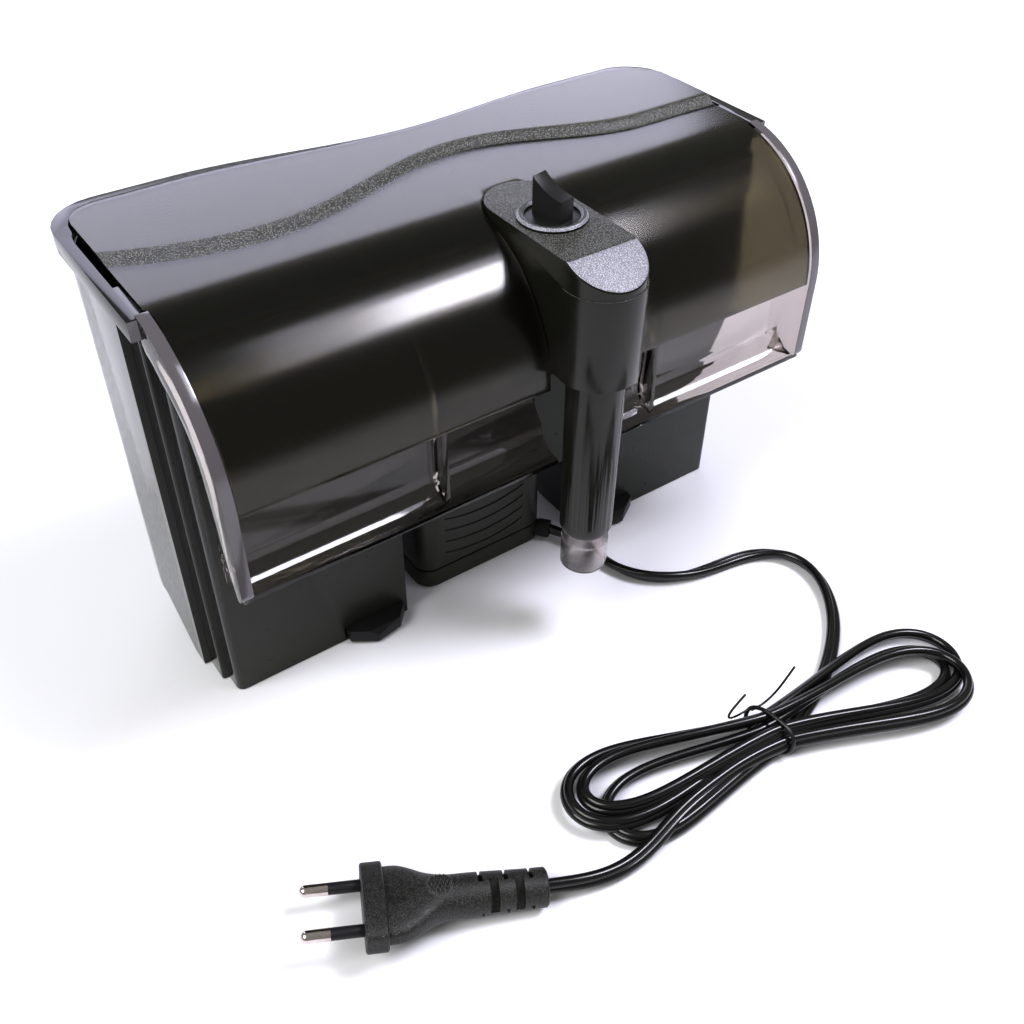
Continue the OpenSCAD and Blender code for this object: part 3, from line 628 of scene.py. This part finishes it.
def plug_point(x, turn):
    """Point of the plug's skin at x and at an angle round its axis."""
    half_w, half_h, square = plug_section(x)
    reach = (abs(math.cos(turn)) ** square + abs(math.sin(turn)) ** square) ** (-1 / square)
    y = half_w * reach * math.cos(turn)
    z = half_h * reach * math.sin(turn)
    z *= 1 - RIDGE * abs(y) / half_w * ease((RIDGE_END - x) / RIDGE_FADE)
    across = y * math.cos(CUT_TURN) + z * math.sin(CUT_TURN)
    up = z * math.cos(CUT_TURN) - y * math.sin(CUT_TURN)
    if in_cut(x, SIDE_CUTS) and abs(up) < SIDE_CUT[1]:
        across = max(-SIDE_CUT[0], min(SIDE_CUT[0], across))
    if in_cut(x, TOP_CUTS) and abs(across) < TOP_CUT[1]:
        up = max(-TOP_CUT[0], min(TOP_CUT[0], up))
    if x > SIDE_CUTS[0][0] - 2:
        y = across * math.cos(CUT_TURN) - up * math.sin(CUT_TURN)
        z = up * math.cos(CUT_TURN) + across * math.sin(CUT_TURN)
    if FACE_THICK < x < HOLLOW_END:
        z *= 1 - HOLLOW * ease((5 - abs(y)) / 3) * ease((HOLLOW_END - x) / 5)
    rim = 1 - math.hypot(x - GRIP[0], y) / GRIP[1]
    if rim > 0 and abs(z) > 3:
        tooth = (math.cos(2 * math.pi * (x - GRIP[0]) / GRIP_PITCH[0])
                 * math.cos(2 * math.pi * y / GRIP_PITCH[1]))
        raised = abs(z) + min(1, rim * 8) * (0.5 + 0.4 * tooth)
        z = math.copysign(min(GRIP_TOP, raised), z)
    return x, y, z


def plug_stations():
    """Distances along the plug at which it has a ring, close together round cuts and grip."""
    stations = list(np.linspace(0, FACE_THICK, 17))
    stations += list(np.arange(FACE_THICK + 0.02, PLUG_LENGTH, 0.6))
    stations += list(np.arange(GRIP[0] - GRIP[1], GRIP[0] + GRIP[1], 0.15))
    stations += list(np.linspace(PLUG_LENGTH - END_EDGE, PLUG_LENGTH, 5))
    for middle, width in SIDE_CUTS + TOP_CUTS:
        for gap in (width / 2 - 0.03, width / 2 + 0.03):
            stations += [middle - gap, middle + gap]
    return sorted(set(round(float(x), 3) for x in stations))


def plug_vertex(bm, point):
    """A new vertex at a point of the plug's frame."""
    return bm.verts.new(at(*(Vector(PLUG_AT) + Euler(PLUG_TILT).to_matrix() @ Vector(point))))


def make_plug():
    """Moulded plug body: pin face, flat body with a thumb grip, and the cut strain relief."""
    bm = bmesh.new()
    skin(bm, [[plug_vertex(bm, plug_point(x, turn)) for turn in turns(SKIN_POINTS)]
              for x in plug_stations()])
    plug = outward("plug_moulding", bm, 38)
    plug.data.materials.append(MATERIALS["plug_pvc"])
    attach(plug, "case")
    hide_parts("plug_body")
    return plug


def make_pins():
    """Two round plated pins with domed tips, seated in their sleeves."""
    profile = [(PIN_RADIUS * math.sin(a), -PIN_LENGTH + PIN_RADIUS * (1 - math.cos(a)))
               for a in (math.pi / 2 * k / 8 for k in range(1, 9))]
    profile += [(PIN_RADIUS, x) for x in (-PIN_LENGTH + 4, -PIN_LENGTH + 6.5, -SLEEVE_LENGTH)]
    profile += [(PIN_CORE, -SLEEVE_LENGTH), (PIN_CORE, PIN_ROOT)]
    bm = bmesh.new()
    for side in (-1, 1):
        axis = side * PIN_GAP / 2
        skin(bm, [[plug_vertex(bm, (x, axis + r * math.cos(a), r * math.sin(a)))
                   for a in turns(32)] for r, x in profile])
    made = outward("plug_pins_domed", bm, 40)
    made.data.materials.append(MATERIALS["pin_metal"])
    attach(made, "case")
    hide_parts("plug_pins")
    return made


cord, cord_length, cord_line = make_cord()
tie = make_tie()
plug_body = make_plug()
pins = make_pins()
sleeves = finished_copy("pin_sleeves", 0.1)

# ---- Filter ---------------------------------------------------------------------------

ARC_Y = 9.5
LID_TOP = 162.2
LID_RADIUS = 47.5
ARC_Z = LID_TOP - LID_RADIUS
LID_HALF = 116.3
LID_FRONT_HALF = 114.8
LID_THICKNESS = 2.0
LID_EDGE = 0.35
# Where the lid starts to narrow towards its front, and over what length
FRONT_NARROWING = (4.6, 2)
PANEL_RISE = (0.8, 2.6)
# The lid's rear edge: X and Y of its dip, and on either side over what length it runs back and
# by how much
DIP = (10, 64.5)
LEFT_BULGE = (90, 10.5)
RIGHT_BULGE = (60, 4.5)
# X and Y of the wave's centre line: nearest the tank on the left, at its crest, and nearest the
# tank on the right
WAVE_LEFT = (-66, 25.6)
WAVE_CREST = (12, 44.0)
WAVE_RIGHT = (82, 25.2)
# Length of the wave's left end and how far it runs back there, then half the wave's width on
# the left and on the right
WAVE_END = (42.6, 8.8)
WAVE_HALF = (4.6, 2.1)
ARC_STEPS = 36
FLAT_STEPS = 6
WAVE_STEPS = 6
PANEL_STEPS = 14
CORNER_STEPS = 10
LID_COLUMNS = 84
INTAKE_X = 10.0
SLOT_HALF = 14.5
SLOT_BACK = -2.5
SLOT_FRONT = -60
SLOT_STEPS = 24
CUTTER_Z = (90, 180)
LEFT_CORNER = 12.0
RIGHT_CORNER = 18.0
# Faces of the case: those above SPILLWAY_BOTTOM and towards the tank belong to the spillway
SPILLWAY_BOTTOM = 78.0
SPILLWAY_TOP = 149
PLATE_INNER = 115.6
RIM_BOTTOM = 155.0
ELBOW_TOP_FROM = 140
ELBOW_RIM_FROM = 155.5
SLEEVE_Y = -40


def swell(t):
    """Half a cosine wave from 0 to 1."""
    return (1 - math.cos(math.pi * min(1.0, max(0.0, t)))) / 2


def back_y(x):
    """Rear edge of the lid: far back on the left, nearest at the dip, back again on the right."""
    length, depth = LEFT_BULGE if x < DIP[0] else RIGHT_BULGE
    return DIP[1] + depth * swell(abs(x - DIP[0]) / length)


def wave_y(x):
    """Centre line of the textured wave across the lid."""
    if x < WAVE_LEFT[0]:
        length, rise = WAVE_END
        return WAVE_LEFT[1] + rise * ((WAVE_LEFT[0] - x) / length) ** 2
    foot = WAVE_LEFT if x < WAVE_CREST[0] else WAVE_RIGHT
    return foot[1] + (WAVE_CREST[1] - foot[1]) * swell((x - foot[0]) / (WAVE_CREST[0] - foot[0]))


def wave_half(x):
    """Half the width of the wave, wider on the left."""
    left, right = WAVE_HALF
    return left + (right - left) * swell((x + 110) / 150)


def panel_rise(x):
    """How far the panel behind the wave stands above the lid's front part."""
    low, high = PANEL_RISE
    return low + (high - low) * swell((x + LID_HALF) / LID_HALF / 1.6)


def lid_edge(x):
    """Y of the lid's outline at the back, with its rounded corners."""
    for start, radius, past in ((-LID_HALF + LEFT_CORNER, LEFT_CORNER, -1),
                                (LID_HALF - RIGHT_CORNER, RIGHT_CORNER, 1)):
        if (x - start) * past > 0:
            return back_y(start) - radius + math.sqrt(max(0, radius ** 2 - (x - start) ** 2))
    return back_y(x)


def lid_columns():
    """X of the lid's mesh columns, closer together round its corners."""
    bend = [math.pi / 2 * k / CORNER_STEPS for k in range(CORNER_STEPS, 0, -1)]
    left = [-LID_HALF + LEFT_CORNER * (1 - math.sin(a)) for a in bend]
    right = [LID_HALF - RIGHT_CORNER * (1 - math.sin(a)) for a in reversed(bend)]
    straight = np.linspace(-LID_HALF + LEFT_CORNER, LID_HALF - RIGHT_CORNER, LID_COLUMNS)
    return left + list(straight) + right


def lid_column(x):
    """Y and Z of the lid's rows at x, front to back, and whether the face up to each is wave."""
    points = []
    for k in range(ARC_STEPS + 1):
        a = math.pi - math.pi / 2 * k / ARC_STEPS
        points.append((ARC_Y + LID_RADIUS * math.cos(a), ARC_Z + LID_RADIUS * math.sin(a), False))
    front = wave_y(x) - wave_half(x)
    rear = wave_y(x) + wave_half(x)
    for k in range(1, FLAT_STEPS + 1):
        points.append((ARC_Y + (front - ARC_Y) * k / FLAT_STEPS, LID_TOP, False))
    for k in range(1, WAVE_STEPS + 1):
        y = front + (rear - front) * k / WAVE_STEPS
        points.append((y, LID_TOP + panel_rise(x) * ease(k / WAVE_STEPS), True))
    for k in range(1, PANEL_STEPS + 1):
        y = rear + (lid_edge(x) - rear) * k / PANEL_STEPS
        points.append((y, LID_TOP + panel_rise(x), False))
    return points


def make_lid():
    """The smoked lid with its raised rear panel, textured wave and slot for the elbow."""
    bm = bmesh.new()
    grid = []
    edge, length = FRONT_NARROWING
    for x in lid_columns():
        column = []
        for y, z, _ in lid_column(x):
            narrow = 1 - (1 - LID_FRONT_HALF / LID_HALF) * ease((edge - y) / length)
            column.append(bm.verts.new(at(x * narrow, y, z)))
        grid.append(column)
    in_wave = [row[2] for row in lid_column(0)]
    for left, right in zip(grid, grid[1:]):
        for k in range(len(left) - 1):
            face = bm.faces.new((left[k], right[k], right[k + 1], left[k + 1]))
            face.material_index = int(in_wave[k + 1])
    bmesh.ops.recalc_face_normals(bm, faces=bm.faces)
    lid = from_bmesh("lid_moulded", bm)
    lid.data.materials.append(MATERIALS["lid_plastic"])
    lid.data.materials.append(WAVE)
    cutter = make_slot_cutter()
    walls = lid.modifiers.new("walls", "SOLIDIFY")
    walls.thickness = LID_THICKNESS * MM
    walls.offset = -1
    slot = lid.modifiers.new("slot", "BOOLEAN")
    slot.object = cutter
    slot.solver = "EXACT"
    edges = lid.modifiers.new("edges", "BEVEL")
    edges.width = LID_EDGE * MM
    edges.segments = 2
    edges.limit_method = "ANGLE"
    edges.angle_limit = math.radians(50)
    bake_modifiers(lid)
    bpy.data.objects.remove(cutter)
    for face in lid.data.polygons:
        if face.normal.z < 0.3:
            face.material_index = 0
    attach(lid, "lid")
    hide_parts("lid")


def make_slot_cutter():
    """Solid that cuts the lid's slot for the intake elbow."""
    outline = [(INTAKE_X - SLOT_HALF, SLOT_FRONT)]
    outline += [(INTAKE_X - SLOT_HALF * math.cos(a), SLOT_BACK + SLOT_HALF * math.sin(a))
                for a in (math.pi * k / SLOT_STEPS for k in range(SLOT_STEPS + 1))]
    outline.append((INTAKE_X + SLOT_HALF, SLOT_FRONT))
    bm = bmesh.new()
    low, high = [[bm.verts.new(at(x, y, z)) for x, y in outline] for z in CUTTER_Z]
    bm.faces.new(low)
    bm.faces.new(high[::-1])
    for k in range(len(outline)):
        bm.faces.new((low[k - 1], low[k], high[k], high[k - 1]))
    bmesh.ops.recalc_face_normals(bm, faces=bm.faces)
    return from_bmesh("slot_cutter", bm)


def bake_modifiers(obj, limit=30):
    """Turns an object's modifiers into mesh, with smooth shading."""
    graph = bpy.context.evaluated_depsgraph_get()
    bm = bmesh.new()
    bm.from_mesh(obj.evaluated_get(graph).to_mesh())
    soften(bm, limit)
    obj.modifiers.clear()
    bm.to_mesh(obj.data)
    bm.free()


def case_material(centre, normal):
    """0 for the satin chambers, 1 for the clear spillway, 2 for the glossy sides and rim and 3
    for the edges of the spillway's side plates."""
    spillway = centre.z > SPILLWAY_BOTTOM
    if spillway and centre.y < 2.0 and abs(centre.x) > PLATE_INNER and abs(normal.x) < 0.5:
        return 3
    if spillway and centre.y < 1.0 and (abs(centre.y) > 0.3 or centre.z > SPILLWAY_TOP):
        return 1
    return 2 if centre.z > RIM_BOTTOM or abs(normal.x) > 0.6 or normal.y > 0.5 else 0


def elbow_material(centre, normal):
    """0 for the glossy elbow, 1 for its textured top and 2 for its sloped cap, which is painted
    light lavender as a painted reflection of the soft box.
    """
    if centre.z < ELBOW_TOP_FROM or normal.z < 0.6:
        return 0
    # Faces that slope towards the soft box take the painted reflection
    return 1 if normal.z > 0.985 else 2


def elbow_rim(middle, faces):
    """Whether an edge is the upper outer rim of the elbow's sleeve."""
    tops = [face.normal.z for face in faces]
    return (middle.z > ELBOW_RIM_FROM and middle.y < SLEEVE_Y
            and max(tops) > 0.4 and min(tops) < 0.3)


make_lid()
finished_copy("filter_case", 0.35, [SPILLWAY, CASE_SIDE, PLATE_EDGE], case_material)
finished_copy("intake_elbow", 0.4, [ELBOW_TOP, ELBOW_CAP_PAINTED_REFLECTION], elbow_material, elbow_rim, 1.0)
for node, bevel in {"flow_knob": 0.35, "intake_tube": 0.3, "extension_tube": 0.2,
                    "motor_housing": 0.5, "motor_cover": 0.5, "left_leveller": 0.3,
                    "right_leveller": 0.3, "cord_gland": 0.4}.items():
    finished_copy(node, bevel)

# ---- Stage ----------------------------------------------------------------------------


def area_light(name, spot, target, size, watts, colour, along=(0, 0, 1)):
    """A soft box at spot that faces target; its longer side, the first of size, lies along."""
    data = bpy.data.lights.new(name, "AREA")
    data.shape = "RECTANGLE"
    data.size, data.size_y = size
    data.energy = watts
    data.color = colour
    light = bpy.data.objects.new(name, data)
    back = (Vector(spot) - Vector(target)).normalized()
    wide = (Vector(along) - Vector(along).dot(back) * back).normalized()
    axes = Matrix((wide, back.cross(wide), back)).transposed()
    light.matrix_world = Matrix.Translation(spot) @ axes.to_4x4()
    bpy.context.scene.collection.objects.link(light)


FLOOR_HALF = 6
FLOOR_DROP = 0.0005


def make_stage():
    """Pale floor, even surroundings and four soft boxes."""
    bm = bmesh.new()
    bmesh.ops.create_grid(bm, x_segments=1, y_segments=1, size=FLOOR_HALF)
    floor = from_bmesh("floor", bm)
    floor.location.z = -FLOOR_DROP
    paper = Surface("floor_paper", (0.86, 0.86, 0.90), 0.7)
    paper.bump(paper.noise(300, 3), 0.0001, 0.2)
    floor.data.materials.append(paper.material)
    world = bpy.data.worlds.new("studio")
    world.use_nodes = True
    surroundings = world.node_tree.nodes["Background"].inputs
    surroundings["Color"].default_value = (0.96, 0.97, 0.88, 1)
    surroundings["Strength"].default_value = 0.30
    bpy.context.scene.world = world
    view = bpy.context.scene.view_settings
    view.view_transform = "Standard"
    view.exposure = 0.22
    view.gamma = 0.82
    area_light("key_left", (-1.6, -0.1, 1.9), (0, -0.05, 0.05), (1.4, 1.4), 44, (1, 1, 0.98),
               (0, 1, 0))
    lid_front = at(-30, -20, 150)
    area_light("softbox_core", at(495, -375, 1000), lid_front, (0.27, 0.34), 6.2, (0.90, 0.89, 1),
               (1, 0, 0))
    area_light("softbox_halo", at(470, -375, 1050), lid_front, (0.50, 0.54), 4.0, (0.88, 0.87, 1),
               (1, 0, 0))
    area_light("backdrop", (0.45, 1.32, 0.72), (0, 0.03, 0.16), (1.5, 0.66), 9.5,
               (0.80, 0.80, 1), (1, 0, 0))


make_stage()
